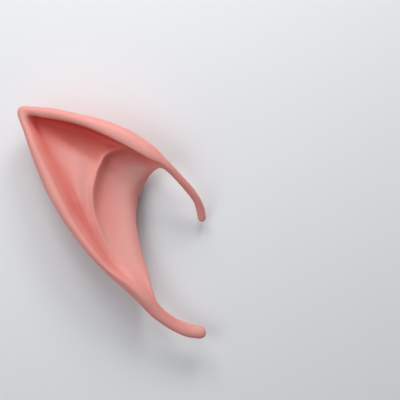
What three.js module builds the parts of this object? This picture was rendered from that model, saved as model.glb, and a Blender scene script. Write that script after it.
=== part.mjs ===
import * as THREE from "three";

// Driving sizes, in millimetres unless said otherwise
const EAR_WIDTH = 79.6;
const EAR_LENGTH = 98.7;
const EAR_HEIGHT = 23;
const WALL = 1.3;
const HOOK_THICK = 3.5;
const TAIL_THICK = 3.2;
const ROLL_WIDTH = 4.4;
const BACK_SETBACK = 3.6;
const RIM_DEPTH = 3.4;
const END_ROUND = 0.95;

// Rounding under the rim's inner edge, as a share of the rim wall's depth
const BRINK = 0.2;

// Grid of the skin: points between two neighbouring lines of a section, and rings that round an end
const SPAN_STEPS = 2;
const END_RINGS = 3;

const table = (names, rows) =>
  rows.map((row) => Object.fromEntries(names.map((name, k) => [name, row[k]])));

// Outline, a row for each section from the hook's end round the tip to the tail's end
// outX, outY: outer edge; inX, inY: inner edge, as shares of width and length
// rim, lip, keel: heights of rim crest, inner edge and underside, as shares of height
// shell: 0 for a solid rod, 1 for the hollow shell; hollow: depth of the pocket; steps: rings to the next row
const OUTLINE = table(
  ["outX", "outY", "inX", "inY", "rim", "lip", "keel", "shell", "hollow", "steps"],
  [
    [0.999, 0.521, 0.953, 0.517, 0.22, 0.15, 0.05, 0, 0, 3],
    [0.992, 0.561, 0.946, 0.552, 0.30, 0.22, 0.14, 0, 0, 3],
    [0.967, 0.608, 0.930, 0.592, 0.42, 0.34, 0.26, 0, 0, 2],
    [0.925, 0.655, 0.891, 0.634, 0.56, 0.48, 0.40, 0, 0, 2],
    [0.871, 0.702, 0.841, 0.679, 0.70, 0.62, 0.54, 0, 0, 2],
    [0.826, 0.741, 0.797, 0.716, 0.81, 0.73, 0.62, 0, 0, 2],
    [0.780, 0.780, 0.761, 0.731, 0.90, 0.77, 0.60, 0.35, 0, 3],
    [0.726, 0.822, 0.726, 0.720, 0.96, 0.66, 0.44, 1, 0.15, 3],
    [0.639, 0.873, 0.700, 0.701, 0.99, 0.45, 0.26, 1, 0.9, 5],
    [0.507, 0.923, 0.681, 0.679, 1.00, 0.365, 0.12, 1, 1, 4],
    [0.343, 0.960, 0.663, 0.654, 0.97, 0.335, 0.03, 1, 1, 4],
    [0.185, 0.986, 0.648, 0.628, 0.90, 0.33, 0, 1, 1, 3],
    [0.069, 0.997, 0.638, 0.605, 0.82, 0.335, 0, 1, 1, 2],
    [0.024, 0.999, 0.635, 0.593, 0.79, 0.34, 0, 1, 1, 2],
    [0.002, 0.984, 0.633, 0.581, 0.77, 0.35, 0, 1, 1, 2],
    [0.003, 0.958, 0.631, 0.569, 0.77, 0.355, 0, 1, 1, 2],
    [0.019, 0.922, 0.630, 0.555, 0.79, 0.365, 0, 1, 1, 5],
    [0.061, 0.829, 0.628, 0.529, 0.84, 0.385, 0, 1, 1, 5],
    [0.129, 0.682, 0.629, 0.490, 0.88, 0.405, 0, 1, 1, 5],
    [0.219, 0.542, 0.638, 0.448, 0.90, 0.425, 0, 1, 1, 5],
    [0.338, 0.405, 0.649, 0.397, 0.90, 0.455, 0.04, 1, 1, 4],
    [0.459, 0.294, 0.669, 0.342, 0.87, 0.495, 0.12, 1, 0.9, 3],
    [0.575, 0.211, 0.695, 0.276, 0.81, 0.54, 0.24, 1, 0.45, 3],
    [0.655, 0.145, 0.719, 0.210, 0.74, 0.55, 0.36, 0.6, 0.1, 3],
    [0.709, 0.098, 0.744, 0.159, 0.66, 0.54, 0.46, 0.15, 0, 2],
    [0.769, 0.062, 0.794, 0.114, 0.59, 0.50, 0.44, 0, 0, 2],
    [0.830, 0.030, 0.850, 0.084, 0.54, 0.45, 0.39, 0, 0, 2],
    [0.899, 0.007, 0.910, 0.064, 0.51, 0.42, 0.36, 0, 0, 2],
    [0.965, 0, 0.968, 0.056, 0.50, 0.41, 0.35, 0, 0, 2],
  ],
);

// Bowl and ridge: how far across the section each line runs, and how high, as shares of height
const BOWL = table(
  ["row", "floor", "floorUp", "foot", "footUp", "crest", "crestUp"],
  [
    [6, 0.20, 0.80, 0.28, 0.82, 0.33, 0.84],
    [7, 0.20, 0.74, 0.28, 0.77, 0.33, 0.80],
    [8, 0.25, 0.57, 0.34, 0.60, 0.41, 0.655],
    [9, 0.30, 0.50, 0.465, 0.52, 0.54, 0.625],
    [10, 0.28, 0.485, 0.445, 0.53, 0.50, 0.69],
    [11, 0.24, 0.475, 0.375, 0.52, 0.415, 0.705],
    [12, 0.20, 0.475, 0.318, 0.52, 0.353, 0.71],
    [14, 0.19, 0.475, 0.302, 0.52, 0.335, 0.71],
    [16, 0.19, 0.475, 0.322, 0.52, 0.355, 0.71],
    [17, 0.20, 0.48, 0.36, 0.52, 0.398, 0.705],
    [18, 0.22, 0.485, 0.408, 0.525, 0.455, 0.685],
    [19, 0.25, 0.50, 0.455, 0.545, 0.51, 0.65],
    [20, 0.28, 0.525, 0.50, 0.565, 0.555, 0.60],
    [21, 0.28, 0.56, 0.42, 0.585, 0.50, 0.61],
    [22, 0.22, 0.59, 0.34, 0.63, 0.42, 0.67],
    [24, 0.20, 0.60, 0.30, 0.62, 0.36, 0.64],
  ],
);

// Dip behind the ridge, swell, and groove along the rim
const FOLDS = table(
  ["row", "dip", "dipUp", "swell", "swellUp", "groove", "grooveUp"],
  [
    [6, 0.36, 0.86, 0.385, 0.87, 0.40, 0.88],
    [7, 0.36, 0.825, 0.385, 0.85, 0.40, 0.87],
    [8, 0.44, 0.69, 0.457, 0.73, 0.472, 0.78],
    [9, 0.565, 0.66, 0.582, 0.69, 0.595, 0.74],
    [10, 0.575, 0.59, 0.65, 0.565, 0.73, 0.545],
    [11, 0.465, 0.60, 0.58, 0.555, 0.75, 0.51],
    [12, 0.40, 0.61, 0.56, 0.58, 0.77, 0.525],
    [14, 0.377, 0.62, 0.53, 0.645, 0.82, 0.56],
    [16, 0.402, 0.62, 0.535, 0.665, 0.765, 0.58],
    [17, 0.455, 0.62, 0.555, 0.67, 0.72, 0.585],
    [18, 0.52, 0.61, 0.595, 0.655, 0.68, 0.585],
    [19, 0.565, 0.595, 0.62, 0.62, 0.68, 0.59],
    [20, 0.60, 0.58, 0.645, 0.585, 0.69, 0.60],
    [21, 0.56, 0.62, 0.62, 0.625, 0.70, 0.64],
    [22, 0.46, 0.69, 0.50, 0.71, 0.54, 0.73],
    [24, 0.40, 0.64, 0.43, 0.65, 0.46, 0.66],
  ],
);

// Rim: foot and top of its inner wall, and its crest
const RIM = table(
  ["row", "wallFoot", "wallFootUp", "wallTop", "wallTopUp", "rimCrest"],
  [
    [6, 0.415, 0.885, 0.42, 0.89, 0.62],
    [7, 0.415, 0.89, 0.415, 0.935, 0.70],
    [8, 0.495, 0.83, 0.49, 0.965, 0.74],
    [9, 0.61, 0.79, 0.605, 0.975, 0.80],
    [10, 0.775, 0.64, 0.77, 0.945, 0.885],
    [11, 0.848, 0.59, 0.847, 0.88, 0.925],
    [12, 0.864, 0.58, 0.867, 0.805, 0.94],
    [14, 0.872, 0.655, 0.92, 0.755, 0.963],
    [16, 0.83, 0.665, 0.905, 0.775, 0.945],
    [17, 0.80, 0.685, 0.885, 0.825, 0.925],
    [18, 0.752, 0.705, 0.831, 0.865, 0.885],
    [19, 0.75, 0.725, 0.826, 0.885, 0.88],
    [20, 0.748, 0.735, 0.817, 0.88, 0.88],
    [21, 0.745, 0.71, 0.80, 0.845, 0.87],
    [22, 0.58, 0.755, 0.66, 0.795, 0.74],
    [24, 0.49, 0.65, 0.53, 0.665, 0.60],
  ],
);

// Underside of a shell section, from the rim's outer edge to the back wall's edge
// across: share of the section's width; up: share of the way from underside to the rim's outer edge
const UNDERSIDE = table(
  ["name", "across", "up"],
  [
    ["side", 1, 1],
    ["under", 0.975, 0.76],
    ["flank", 0.87, 0.40],
    ["bilge", 0.70, 0.13],
    ["belly", 0.50, 0.01],
    ["keel", 0.28, 0.01],
  ],
);

// Round section of hook and tail: the angle, in degrees, at which each line of the skin sits
const ROD_ANGLES = table(
  ["name", "angle"],
  [
    ["lip", 152], ["roll", 145], ["floor", 138], ["foot", 132], ["crest", 126], ["dip", 120],
    ["swell", 115], ["groove", 110], ["wallFoot", 105], ["brink", 100], ["wallTop", 95], ["rimCrest", 82],
    ["shoulder", 45], ["side", 0], ["under", -35], ["flank", -62], ["bilge", -82],
    ["belly", -102], ["keel", -126], ["backLip", -152],
  ],
);
const ROD_INNER_FROM = -160;
const ROD_INNER_TO = 160;

const radians = THREE.MathUtils.degToRad;
const lerp = THREE.MathUtils.lerp;
const LAST_ROW = OUTLINE.length - 1;

// A smooth value between the rows of a table that each name their row
function follow(rows, column, at) {
  const beyond = rows.findIndex((row) => row.row > at);
  const k = beyond < 0 ? rows.length - 1 : beyond;
  if (k === 0) return rows[0][column];
  if (beyond < 0) return rows[k][column];
  const slope = (j) => {
    const before = rows[Math.max(j - 1, 0)];
    const after = rows[Math.min(j + 1, rows.length - 1)];
    return (after[column] - before[column]) / (after.row - before.row);
  };
  const span = rows[k].row - rows[k - 1].row;
  const t = (at - rows[k - 1].row) / span;
  const start = rows[k - 1][column];
  const end = rows[k][column];
  return (
    start * (1 + 2 * t) * (1 - t) ** 2 +
    slope(k - 1) * span * t * (1 - t) ** 2 +
    end * t * t * (3 - 2 * t) -
    slope(k) * span * t * t * (1 - t)
  );
}

const OUTLINE_ROWS = OUTLINE.map((row, k) => ({ ...row, row: k }));

const edgeCurve = (x, y) =>
  new THREE.CatmullRomCurve3(
    OUTLINE.map((row) => new THREE.Vector3(row[x] * EAR_WIDTH, row[y] * EAR_LENGTH, 0)),
  );
const outerEdge = edgeCurve("outX", "outY");
const innerEdge = edgeCurve("inX", "inY");
const edgePoint = (curve, at) => curve.getPoint(THREE.MathUtils.clamp(at / LAST_ROW, 0, 1));

// How much longer the wall is along a section than straight through the rim
function slant(at, direction) {
  const through = [-0.6, 0, 0.6].map((step) => {
    const middle = THREE.MathUtils.clamp(at + step, 0.3, LAST_ROW - 0.3);
    const before = edgePoint(outerEdge, middle - 0.3);
    const along = edgePoint(outerEdge, middle + 0.3).sub(before).normalize();
    return 1 / Math.abs(along.x * direction.y - along.y * direction.x);
  });
  return Math.max(...through);
}

// Lines of the outer skin of a shell section, as points (across in millimetres, up in millimetres)
function shellLines(at, width) {
  const up = (value) => value * EAR_HEIGHT;
  const outline = (column) => follow(OUTLINE_ROWS, column, at);
  const on = (rows, line) =>
    new THREE.Vector2(follow(rows, line, at) * width, up(follow(rows, line + "Up", at)));
  const lip = up(outline("lip"));
  const rim = up(outline("rim"));
  const keel = up(outline("keel"));
  const floor = on(BOWL, "floor");
  const crestAcross = follow(RIM, "rimCrest", at) * width;
  const side = rim - RIM_DEPTH;
  const rollAcross = ROLL_WIDTH * width / (width + 2 * ROLL_WIDTH);
  const lines = {
    lip: new THREE.Vector2(WALL * 0.12, lip),
    roll: new THREE.Vector2(Math.min(rollAcross, floor.x * 0.6), lerp(lip, floor.y, 0.9)),
    floor,
    foot: on(BOWL, "foot"),
    crest: on(BOWL, "crest"),
    dip: on(FOLDS, "dip"),
    swell: on(FOLDS, "swell"),
    groove: on(FOLDS, "groove"),
    wallFoot: on(RIM, "wallFoot"),
    brink: on(RIM, "wallTop").lerp(on(RIM, "wallFoot"), BRINK),
    wallTop: on(RIM, "wallTop"),
    rimCrest: new THREE.Vector2(crestAcross, rim),
    shoulder: new THREE.Vector2(lerp(crestAcross, width, 0.72), rim - RIM_DEPTH * 0.32),
  };
  for (const { name, across, up: share } of UNDERSIDE) {
    lines[name] = new THREE.Vector2(across * width, lerp(keel, side, share));
  }
  const back = BACK_SETBACK * width / (width + 2 * BACK_SETBACK);
  lines.backLip = new THREE.Vector2(back, keel + WALL * 0.6);
  return lines;
}

// Lines of the pocket's skin, a wall's thickness inside the outer skin, from the back wall's edge
// in along the back, up under the rim and back along the front to the inner edge
function pocketLines(lines, width, slanted) {
  const names = Object.keys(lines);
  const inside = (point, from, to) => {
    const along = to.clone().sub(from).normalize();
    return new THREE.Vector2(point.x + along.y * WALL * slanted, point.y - along.x * WALL);
  };
  const behind = (name) => {
    const k = names.indexOf(name);
    return inside(lines[name], lines[names[k - 1]], lines[names[k + 1]]);
  };
  // The pocket reaches up into the rim only where the rim is wider than its two walls
  const middle = (lines.wallTop.x + width) / 2;
  const room = width - lines.wallTop.x - 2 * WALL * slanted;
  const reach = THREE.MathUtils.clamp(room / (2 * WALL), 0, 1);
  const half = Math.max(room, WALL / 2) / 2;
  const top = lerp(lines.wallFoot.y - WALL, lines.side.y, reach);
  const underFoot = lerp(lines.wallFoot.x, middle - half, 0.4);
  const underGroove = inside(lines.groove, lines.dip, lines.wallFoot);
  const underRidge = lines.foot.clone().lerp(lines.dip, 0.5);
  return [
    new THREE.Vector2(lines.backLip.x, lines.backLip.y + WALL),
    ...["belly", "bilge", "flank", "under"].map(behind),
    new THREE.Vector2(middle + half, top),
    new THREE.Vector2(middle - half, top),
    new THREE.Vector2(Math.max(underFoot, underGroove.x), lines.wallFoot.y - WALL * 0.9),
    underGroove,
    inside(underRidge, lines.foot, lines.dip),
    behind("foot"),
    behind("floor"),
    behind("roll"),
    new THREE.Vector2(lines.lip.x, lines.lip.y - WALL),
  ];
}

// One closed ring of points, first the outer skin, then the pocket's skin
function sectionAt(at) {
  const outer = edgePoint(outerEdge, at);
  const inner = edgePoint(innerEdge, at);
  const direction = outer.clone().sub(inner);
  const width = direction.length();
  direction.normalize();
  const shell = follow(OUTLINE_ROWS, "shell", at);
  const hollow = follow(OUTLINE_ROWS, "hollow", at) * shell;
  const rim = follow(OUTLINE_ROWS, "rim", at) * EAR_HEIGHT;
  const thick = at < LAST_ROW / 2 ? HOOK_THICK : TAIL_THICK;
  const rod = (angle) =>
    new THREE.Vector2(
      (width / 2) * (1 + Math.cos(radians(angle))),
      rim + (thick / 2) * (Math.sin(radians(angle)) - 1),
    );
  const lines = shellLines(at, width);
  const outerLines = ROD_ANGLES.map(({ name, angle }) => rod(angle).lerp(lines[name], shell));
  const pocket = pocketLines(lines, width, slant(at, direction));
  const pocketRing = pocket.map((point, k) => {
    const share = k / (pocket.length - 1);
    const start = new THREE.Vector2(
      lerp(pocket[0].x, pocket[pocket.length - 1].x, share),
      lerp(pocket[0].y, pocket[pocket.length - 1].y, share),
    );
    const shrunk = new THREE.Vector2(
      lerp(start.x, point.x, hollow),
      lerp(start.y, point.y, hollow * hollow),
    );
    return rod(lerp(ROD_INNER_FROM, ROD_INNER_TO - 360, share)).lerp(shrunk, shell);
  });
  const place = ({ x, y }) => new THREE.Vector3().copy(inner).addScaledVector(direction, x).setZ(y);
  return [...skinPoints(outerLines), ...skinPoints(pocketRing)].map(place);
}

// A smooth run of points through the lines of a skin
function skinPoints(lines) {
  const curve = new THREE.CatmullRomCurve3(
    lines.map(({ x, y }) => new THREE.Vector3(x, y, 0)),
    false,
    "centripetal",
  );
  return curve.getPoints((lines.length - 1) * SPAN_STEPS);
}

// Rings that close an end with a round nose, and the nose's last point
function roundEnd(ring, towards) {
  const centre = new THREE.Box3().setFromPoints(ring).getCenter(new THREE.Vector3());
  const rings = [];
  for (let k = 1; k < END_RINGS; k += 1) {
    const turn = (k / END_RINGS) * (Math.PI / 2);
    rings.push(
      ring.map((point) =>
        point.clone().sub(centre).multiplyScalar(Math.cos(turn)).add(centre)
          .addScaledVector(towards, Math.sin(turn)),
      ),
    );
  }
  return { rings, nose: centre.add(towards) };
}

// Every ring from the hook's end to the tail's end
function allRings() {
  const rings = [];
  OUTLINE.forEach((row, k) => {
    const count = k === LAST_ROW ? 1 : row.steps;
    for (let step = 0; step < count; step += 1) rings.push(sectionAt(k + step / count));
  });
  return rings;
}

// Closed mesh from rings of equal length and a nose point at each end
function closeSkin(rings, firstNose, lastNose) {
  const around = rings[0].length;
  const points = [firstNose, ...rings.flat(), lastNose];
  const index = [];
  const id = (ring, k) => 1 + ring * around + (k % around);
  for (let k = 0; k < around; k += 1) {
    index.push(0, id(0, k + 1), id(0, k));
    index.push(points.length - 1, id(rings.length - 1, k), id(rings.length - 1, k + 1));
    for (let ring = 0; ring < rings.length - 1; ring += 1) {
      const [a, b] = [id(ring, k), id(ring, k + 1)];
      const [c, d] = [id(ring + 1, k), id(ring + 1, k + 1)];
      index.push(a, b, d);
      index.push(a, d, c);
    }
  }
  const geometry = new THREE.BufferGeometry().setFromPoints(points);
  geometry.setIndex(index);
  return geometry;
}

function earGeometry() {
  const rings = allRings();
  const endWay = (at, back) => {
    const width = edgePoint(outerEdge, at).distanceTo(edgePoint(innerEdge, at));
    return edgePoint(outerEdge, at).sub(edgePoint(outerEdge, back))
      .setLength((width / 2) * END_ROUND);
  };
  const hookEnd = roundEnd(rings[0], endWay(0, 0.5));
  const tailEnd = roundEnd(rings[rings.length - 1], endWay(LAST_ROW, LAST_ROW - 0.5));
  const all = [...hookEnd.rings.reverse(), ...rings, ...tailEnd.rings];
  const geometry = closeSkin(all, hookEnd.nose, tailEnd.nose);
  geometry.computeBoundingBox();
  const { min, max } = geometry.boundingBox;
  geometry.translate(-(min.x + max.x) / 2, -(min.y + max.y) / 2, -min.z);
  geometry.computeVertexNormals();
  return geometry;
}

function latex() {
  return new THREE.MeshStandardMaterial({ color: 0xdb8f86, roughness: 0.5, metalness: 0 });
}

function earShell() {
  const mesh = new THREE.Mesh(earGeometry(), latex());
  mesh.name = "ear_shell";
  return mesh;
}

const earTip = new THREE.Group();
earTip.add(earShell());

export default earTip;
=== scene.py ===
import math

import bmesh
import bpy
import numpy as np
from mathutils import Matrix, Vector, noise
from mathutils.bvhtree import BVHTree


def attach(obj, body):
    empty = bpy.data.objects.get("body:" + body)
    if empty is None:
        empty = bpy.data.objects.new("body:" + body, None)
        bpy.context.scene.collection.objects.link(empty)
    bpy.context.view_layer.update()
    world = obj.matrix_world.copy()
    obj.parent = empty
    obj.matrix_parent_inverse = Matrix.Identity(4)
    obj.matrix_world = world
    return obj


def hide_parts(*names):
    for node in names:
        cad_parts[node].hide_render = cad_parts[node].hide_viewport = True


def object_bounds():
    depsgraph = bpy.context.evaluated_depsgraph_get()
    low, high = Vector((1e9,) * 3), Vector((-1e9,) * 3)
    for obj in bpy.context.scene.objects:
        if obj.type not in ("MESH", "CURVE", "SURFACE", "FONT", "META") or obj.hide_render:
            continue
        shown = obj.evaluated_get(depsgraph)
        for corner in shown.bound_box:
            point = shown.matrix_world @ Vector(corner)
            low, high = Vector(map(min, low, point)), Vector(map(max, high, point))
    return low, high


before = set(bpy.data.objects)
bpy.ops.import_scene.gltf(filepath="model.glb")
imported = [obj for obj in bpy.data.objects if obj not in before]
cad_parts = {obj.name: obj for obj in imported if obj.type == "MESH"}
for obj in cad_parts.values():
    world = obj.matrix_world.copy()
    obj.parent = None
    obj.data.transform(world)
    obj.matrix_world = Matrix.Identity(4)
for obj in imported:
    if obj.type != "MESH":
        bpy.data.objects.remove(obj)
cad_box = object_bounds()

# The view: the ear lies face up and is seen from straight above, as on a table under a phone.
# One pixel of the 400 pixel picture is 0.42 mm at the height of the ear's rim, and the ear keeps
# its place in the left half of the picture.
PICTURE_PIXELS = 400
METRES_PER_PIXEL = 0.42e-3
PICTURE_CENTRE = (37.1e-3, 9.6e-3)
RIM_PLANE = 0.015
CAMERA_HEIGHT = 0.45
SENSOR_WIDTH = 36.0
NEAREST_SEEN = 0.01
FARTHEST_SEEN = 20

camera_data = bpy.data.cameras.new("view_camera")
camera_data.sensor_width = SENSOR_WIDTH
camera_data.lens = SENSOR_WIDTH * CAMERA_HEIGHT / (PICTURE_PIXELS * METRES_PER_PIXEL)
camera_data.clip_start = NEAREST_SEEN
camera_data.clip_end = FARTHEST_SEEN
camera = bpy.data.objects.new("view_camera", camera_data)
bpy.context.collection.objects.link(camera)
camera.location = (*PICTURE_CENTRE, RIM_PLANE + CAMERA_HEIGHT)
bpy.context.scene.camera = camera
bpy.context.scene.view_settings.view_transform = "Standard"

# The light: a window with two panes beyond the top of the picture, a pale wall under it, a lamp
# nearly overhead, a broad one on the left, and weak, cool ones on the right, on the viewer's side
# and low on the left.
SOFT_LIGHTS = [
    # place, size across, watts, colour
    ((-0.20, 0.60, 0.38), 0.20, 1.15, (1.0, 0.99, 0.975)),
    ((0.16, 0.58, 0.36), 0.20, 1.40, (1.0, 0.99, 0.975)),
    ((0.00, 0.32, 0.28), 0.30, 0.50, (1.0, 0.995, 0.985)),
    ((0.08, 0.24, 0.68), 0.35, 0.50, (1.0, 1.0, 1.0)),
    ((-0.40, 0.00, 0.64), 0.45, 1.40, (0.98, 0.99, 1.0)),
    ((0.71, 0.00, 0.26), 0.45, 0.30, (0.94, 0.97, 1.0)),
    ((0.00, -0.40, 0.62), 0.45, 0.45, (0.90, 0.95, 1.0)),
    ((-0.55, -0.25, 0.40), 0.40, 0.35, (0.95, 0.975, 1.0)),
]
ROOM_COLOUR = (0.93, 0.96, 1.0, 1)
ROOM_STRENGTH = 0.02

for number, (place, across, watts, colour) in enumerate(SOFT_LIGHTS):
    light = bpy.data.lights.new(f"soft_light_{number}", "AREA")
    light.size = across
    light.energy = watts
    light.color = colour
    lamp = bpy.data.objects.new(f"soft_light_{number}", light)
    bpy.context.collection.objects.link(lamp)
    lamp.location = place
    lamp.rotation_euler = (-Vector(place)).to_track_quat("-Z", "Y").to_euler()

room = bpy.data.worlds.new("room")
room.use_nodes = True
room.node_tree.nodes["Background"].inputs["Color"].default_value = ROOM_COLOUR
room.node_tree.nodes["Background"].inputs["Strength"].default_value = ROOM_STRENGTH
bpy.context.scene.world = room

# The floor: a plain pale table top, matt and faintly cool.
FLOOR_REACH = 3.0
FLOOR_COLOUR = (0.865, 0.885, 0.915, 1)
FLOOR_ROUGHNESS = 0.75
FLOOR_GAP = 1e-5

floor_mesh = bpy.data.meshes.new("table_top")
floor_corners = [(-1, -1), (1, -1), (1, 1), (-1, 1)]
floor_height = cad_box[0][2] - FLOOR_GAP
floor_mesh.from_pydata(
    [(x * FLOOR_REACH, y * FLOOR_REACH, floor_height) for x, y in floor_corners],
    [],
    [(0, 1, 2, 3)],
)
floor = bpy.data.objects.new("table_top", floor_mesh)
bpy.context.collection.objects.link(floor)
floor_finish = bpy.data.materials.new("pale_table")
floor_finish.use_nodes = True
floor_shader = floor_finish.node_tree.nodes["Principled BSDF"]
floor_shader.inputs["Base Color"].default_value = FLOOR_COLOUR
floor_shader.inputs["Roughness"].default_value = FLOOR_ROUGHNESS
floor_mesh.materials.append(floor_finish)

# The ear tip: one hollow casting of soft latex, poured in a mould, with a rolled rim, a thin
# hook and a flat tail. Its skin follows the solid's, merged and turned from triangles to quads.
WELD = 1e-6
QUAD_ANGLE = math.radians(179)

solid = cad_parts["ear_shell"]
ear_mesh = solid.data.copy()
ear_mesh.name = "ear_skin"
ear_mesh.transform(solid.matrix_world)
body = bmesh.new()
body.from_mesh(ear_mesh)
bmesh.ops.remove_doubles(body, verts=body.verts, dist=WELD)
bmesh.ops.join_triangles(
    body,
    faces=body.faces,
    angle_face_threshold=QUAD_ANGLE,
    angle_shape_threshold=QUAD_ANGLE,
)
body.normal_update()
body.to_mesh(ear_mesh)
body.free()
ear_mesh.materials.clear()

# Where painted shade and painted highlight go: painted shade in the recesses, which nearby skin
# hides from most sides, and painted highlight on what stands out of the skin around it and faces
# up.
SHELTER_REACH = 0.040
SHELTER_WAYS = 96
SHELTER_LIFT = 0.2e-3
SHELTER_PASSES = 8
PROUD_PASSES = 12
PROUD_SOFTENING = 2
PROUD_FULL = 0.5e-3
SUNK_BY_PROUD = 0.02
UP_FALLOFF = 2
PAINTED_HIGHLIGHT_FROM = -1.6
PAINTED_HIGHLIGHT_TO = -0.2


def all_ways(count):
    """That many directions, spread evenly over a sphere along a spiral."""
    turn = math.pi * (3 - math.sqrt(5))
    ways = []
    for k in range(count):
        up = 1 - 2 * (k + 0.5) / count
        out = math.sqrt(1 - up * up)
        ways.append(Vector((out * math.cos(turn * k), out * math.sin(turn * k), up)))
    return ways


def shelter(mesh):
    """For each point, the share of the open space over its skin that nearby skin hides."""
    faces = [tuple(face.vertices) for face in mesh.polygons]
    skin_tree = BVHTree.FromPolygons([point.co for point in mesh.vertices], faces)
    ways = all_ways(SHELTER_WAYS)
    shares = []
    for point in mesh.vertices:
        start = point.co + point.normal * SHELTER_LIFT
        hidden = 0.0
        whole = 0.0
        for way in ways:
            lean = way.dot(point.normal)
            if lean <= 0:
                continue
            whole += lean
            if skin_tree.ray_cast(start, way, SHELTER_REACH)[0] is not None:
                hidden += lean
        shares.append(hidden / whole)
    return shares


def evened(mesh, values, passes):
    """Values of a mesh's points, evened out between neighbours that many times."""
    starts, ends = np.array([edge.vertices for edge in mesh.edges]).T
    values = np.array(values)
    neighbours = np.ones(len(values))
    np.add.at(neighbours, starts, 1)
    np.add.at(neighbours, ends, 1)
    for _ in range(passes):
        total = values.copy()
        np.add.at(total, starts, values[ends])
        np.add.at(total, ends, values[starts])
        values = total / neighbours
    return values


def vectors(mesh, kind):
    """Places or normals of a mesh's points, a row for each."""
    values = np.empty(len(mesh.vertices) * 3)
    mesh.vertices.foreach_get(kind, values)
    return values.reshape(-1, 3)


def proud(mesh):
    """How far each point stands out of the skin around it, as a share of PROUD_FULL."""
    places = vectors(mesh, "co")
    outward = vectors(mesh, "normal")
    around = [evened(mesh, places[:, axis], PROUD_PASSES) for axis in range(3)]
    return ((places - np.stack(around, axis=1)) * outward).sum(axis=1) / PROUD_FULL


stands_out = evened(ear_mesh, proud(ear_mesh), PROUD_SOFTENING)
# Painted shade: its share grows with how much nearby skin hides each point.
recess_shade_mask = evened(ear_mesh, shelter(ear_mesh), SHELTER_PASSES) - SUNK_BY_PROUD * stands_out
faces_up = np.clip([point.normal.z for point in ear_mesh.vertices], 0, 1) ** UP_FALLOFF
# Painted highlight: paler where the skin stands out and faces up, as where light falls.
painted_highlight_share = np.clip((stands_out - PAINTED_HIGHLIGHT_FROM) / (PAINTED_HIGHLIGHT_TO - PAINTED_HIGHLIGHT_FROM), 0, 1) * faces_up
painted_highlight_share = evened(ear_mesh, painted_highlight_share, PROUD_SOFTENING)
for name, values in (("painted_highlight_share", painted_highlight_share), ("recess_shade_mask", recess_shade_mask)):
    ear_mesh.attributes.new(name, "FLOAT", "POINT").data.foreach_set("value", values)

# The skin itself: the solid's facets rounded off, then a slow unevenness and a finer ripple.
ROUNDING_LEVELS = 2
UNEVEN_DEPTH = 0.17e-3
UNEVEN_SPACING = 9e-3
RIPPLE_DEPTH = 0.045e-3
RIPPLE_SPACING = 2.6e-3
RIPPLE_SHIFT = (7.3, 1.9, 4.1)

rough_ear = bpy.data.objects.new("ear_rough", ear_mesh)
bpy.context.collection.objects.link(rough_ear)
rounding = rough_ear.modifiers.new("rounding", "SUBSURF")
rounding.levels = ROUNDING_LEVELS
rounding.render_levels = ROUNDING_LEVELS
rounded = rough_ear.evaluated_get(bpy.context.evaluated_depsgraph_get())
skin = bpy.data.meshes.new_from_object(rounded)
skin.name = "ear_tip"
bpy.data.objects.remove(rough_ear)


def uneven(point):
    """How far a point of the skin stands out of or into the smooth form, in metres."""
    slow = noise.noise(Vector(point) / UNEVEN_SPACING)
    quick = noise.noise(Vector(point) / RIPPLE_SPACING + Vector(RIPPLE_SHIFT))
    return UNEVEN_DEPTH * slow + RIPPLE_DEPTH * quick


points = vectors(skin, "co")
normals = vectors(skin, "normal")
offsets = np.array([uneven(point) for point in points])
skin.vertices.foreach_set("co", (points + normals * offsets[:, None]).ravel())
skin.shade_smooth()
skin.update()

# The latex: pigmented salmon pink, with painted shade in a deeper red in the recesses and a paler
# painted highlight where it stands out and faces up, with a few pinholes from the pouring. It is
# satin, and light goes a little way into it.
GROUND_COLOUR = (0.83, 0.285, 0.25, 1)
PATCH_COLOUR = (0.86, 0.32, 0.28, 1)
PATCH_SPACING = 14e-3
PATCH_FROM = 0.35
PATCH_TO = 0.65
MOTTLE_COLOUR = (0.80, 0.245, 0.215, 1)
MOTTLE_SPACING = 2.2e-3
MOTTLE_FROM = 0.35
MOTTLE_TO = 0.75
MOTTLE_MOST = 0.35
# Painted highlight: a paler pink on raised, up-facing skin.
PAINTED_HIGHLIGHT_COLOUR = (0.90, 0.49, 0.455, 1)
PAINTED_HIGHLIGHT_MOST = 0.62
# Painted shade: a deeper red laid into the recesses, where shade falls.
PAINTED_SHADE_COLOUR = (0.81, 0.085, 0.055, 1)
PAINTED_SHADE_FROM = 0.22
PAINTED_SHADE_TO = 0.47
PAINTED_SHADE_MOST = 0.92
PINHOLE_COLOUR = (0.25, 0.05, 0.04, 1)
PINHOLE_SPACING = 6.5e-3
PINHOLE_SHARE = 0.12
PINHOLE_CORE = 0.02
PINHOLE_EDGE = 0.045
PINHOLE_DEPTH = 0.3e-3
PINHOLE_STRENGTH = 0.8
SATIN_SPACING = 5.5e-3
SATIN_FROM = 0.3
SATIN_TO = 0.7
SMOOTHEST = 0.38
ROUGHEST = 0.50
GRAIN_SPACING = 0.55e-3
GRAIN_DEPTH = 0.2e-3
GRAIN_STRENGTH = 0.12
BROAD_DETAIL = 2.0
FINE_DETAIL = 3.0
LATEX_SHADING = {
    "Subsurface Weight": 0.4,
    "Subsurface Scale": 3.5e-3,
    "Subsurface Radius": (1.0, 0.32, 0.2),
    "IOR": 1.55,
    "Specular IOR Level": 0.25,
    "Sheen Weight": 0.05,
    "Sheen Roughness": 0.4,
}
MIX_FIRST = 6
MIX_SECOND = 7
MIX_RESULT = 2

latex = bpy.data.materials.new("salmon_latex")
latex.use_nodes = True
tree = latex.node_tree
shader = tree.nodes["Principled BSDF"]
for socket_name, setting in LATEX_SHADING.items():
    shader.inputs[socket_name].default_value = setting
place = tree.nodes.new("ShaderNodeTexCoord")


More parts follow.
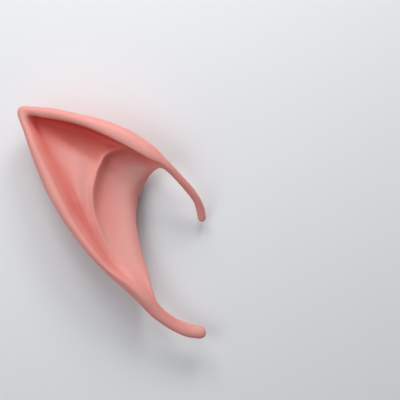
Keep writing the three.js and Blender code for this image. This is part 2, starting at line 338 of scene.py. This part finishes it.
def noise_node(spacing, detail):
    """The values of a noise whose blobs lie that far apart, in metres."""
    made = tree.nodes.new("ShaderNodeTexNoise")
    made.inputs["Scale"].default_value = 1 / spacing
    made.inputs["Detail"].default_value = detail
    tree.links.new(place.outputs["Object"], made.inputs["Vector"])
    return made.outputs["Fac"]


def spread(value, low, high, to_low, to_high):
    """A value carried over from one span to another, and held at its ends."""
    made = tree.nodes.new("ShaderNodeMapRange")
    made.inputs["From Min"].default_value = low
    made.inputs["From Max"].default_value = high
    made.inputs["To Min"].default_value = to_low
    made.inputs["To Max"].default_value = to_high
    tree.links.new(value, made.inputs["Value"])
    return made.outputs["Result"]


def attribute(name):
    """The values of one of the skin's own attributes."""
    made = tree.nodes.new("ShaderNodeAttribute")
    made.attribute_name = name
    return made.outputs["Fac"]


def mixed(share, first, second):
    """A colour between two colours or sockets, by a share."""
    made = tree.nodes.new("ShaderNodeMix")
    made.data_type = "RGBA"
    for socket, value in ((made.inputs[MIX_FIRST], first), (made.inputs[MIX_SECOND], second)):
        if isinstance(value, tuple):
            socket.default_value = value
        else:
            tree.links.new(value, socket)
    tree.links.new(share, made.inputs["Factor"])
    return made.outputs[MIX_RESULT]


def calculated(operation, first, second):
    """The result of an operation on two values or sockets."""
    made = tree.nodes.new("ShaderNodeMath")
    made.operation = operation
    for socket, value in zip(made.inputs, (first, second)):
        if isinstance(value, float):
            socket.default_value = value
        else:
            tree.links.new(value, socket)
    return made.outputs["Value"]


def bumped(height, depth, strength):
    """A Bump node that turns heights into a relief that deep, in metres."""
    made = tree.nodes.new("ShaderNodeBump")
    made.inputs["Strength"].default_value = strength
    made.inputs["Distance"].default_value = depth
    tree.links.new(height, made.inputs["Height"])
    return made


patches = spread(noise_node(PATCH_SPACING, BROAD_DETAIL), PATCH_FROM, PATCH_TO, 0, 1)
mottled = noise_node(MOTTLE_SPACING, FINE_DETAIL)
mottle = spread(mottled, MOTTLE_FROM, MOTTLE_TO, 0, MOTTLE_MOST)
# The share of painted highlight on raised, up-facing skin.
painted_highlight_mix = spread(attribute("painted_highlight_share"), 0, 1, 0, PAINTED_HIGHLIGHT_MOST)
# The share of painted shade in the recesses.
painted_shade_share = spread(attribute("recess_shade_mask"), PAINTED_SHADE_FROM, PAINTED_SHADE_TO, 0, PAINTED_SHADE_MOST)

pinholes = tree.nodes.new("ShaderNodeTexVoronoi")
pinholes.inputs["Scale"].default_value = 1 / PINHOLE_SPACING
tree.links.new(place.outputs["Object"], pinholes.inputs["Vector"])
hole = spread(pinholes.outputs["Distance"], PINHOLE_CORE, PINHOLE_EDGE, 1, 0)
draw = tree.nodes.new("ShaderNodeSeparateColor")
tree.links.new(pinholes.outputs["Color"], draw.inputs["Color"])
chosen = calculated("LESS_THAN", draw.outputs["Red"], PINHOLE_SHARE)
pinhole = calculated("MULTIPLY", hole, chosen)

colour = mixed(patches, GROUND_COLOUR, PATCH_COLOUR)
colour = mixed(mottle, colour, MOTTLE_COLOUR)
# Painted highlight mixed into the latex colour on raised, up-facing skin.
colour = mixed(painted_highlight_mix, colour, PAINTED_HIGHLIGHT_COLOUR)
# Painted shade mixed into the latex colour in the recesses.
colour = mixed(painted_shade_share, colour, PAINTED_SHADE_COLOUR)
colour = mixed(pinhole, colour, PINHOLE_COLOUR)
tree.links.new(colour, shader.inputs["Base Color"])

satin = noise_node(SATIN_SPACING, FINE_DETAIL)
roughness = spread(satin, SATIN_FROM, SATIN_TO, SMOOTHEST, ROUGHEST)
tree.links.new(roughness, shader.inputs["Roughness"])

grain = bumped(noise_node(GRAIN_SPACING, FINE_DETAIL), GRAIN_DEPTH, GRAIN_STRENGTH)
pits = bumped(pinhole, PINHOLE_DEPTH, PINHOLE_STRENGTH)
pits.invert = True
tree.links.new(grain.outputs["Normal"], pits.inputs["Normal"])
tree.links.new(pits.outputs["Normal"], shader.inputs["Normal"])

skin.materials.clear()
skin.materials.append(latex)
ear_tip = bpy.data.objects.new("ear_tip", skin)
bpy.context.collection.objects.link(ear_tip)
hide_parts("ear_shell")
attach(ear_tip, "root")

# Bring the scene up to date.
bpy.context.view_layer.update()
